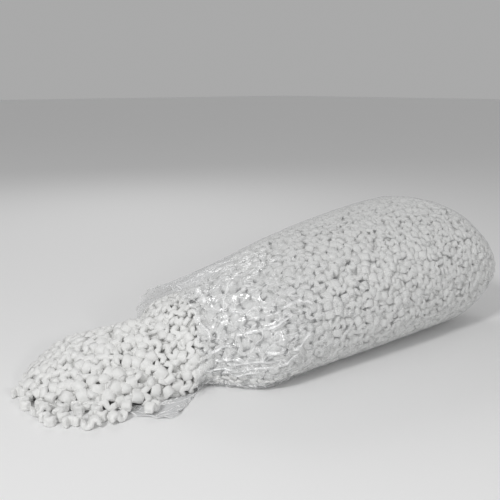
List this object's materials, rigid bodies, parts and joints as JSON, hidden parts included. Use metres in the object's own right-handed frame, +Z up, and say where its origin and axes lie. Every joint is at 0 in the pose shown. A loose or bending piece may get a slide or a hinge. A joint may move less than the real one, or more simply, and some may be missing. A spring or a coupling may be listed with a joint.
{
  "type": "packing peanut bag",
  "caption": "Clear polythene sack of S-shaped foam packing peanuts lying on its side, open mouth, fill pouring out into a heap on the floor.",
  "frame": {"origin": "centre of the footprint of the bag and its heap, on the floor", "axes": "+X along the bag from the heap to the sealed end, +Z up"},
  "size_m": [1.321, 0.6008, 0.3578],
  "materials": {
    "clear_polythene": "clear glossy film",
    "white_foam": "matte expanded foam"
  },
  "bodies": {
    "root": {"bag_film": "clear_polythene", "peanut_fill": "white_foam", "peanut_01": "white_foam", "peanut_02": "white_foam", "peanut_03": "white_foam", "peanut_04": "white_foam", "peanut_05": "white_foam", "peanut_06": "white_foam", "peanut_07": "white_foam", "peanut_08": "white_foam", "peanut_09": "white_foam", "peanut_10": "white_foam", "peanut_11": "white_foam", "peanut_12": "white_foam", "peanut_13": "white_foam", "peanut_14": "white_foam", "peanut_15": "white_foam", "peanut_16": "white_foam", "peanut_17": "white_foam", "peanut_18": "white_foam"}
  },
  "joints": []
}
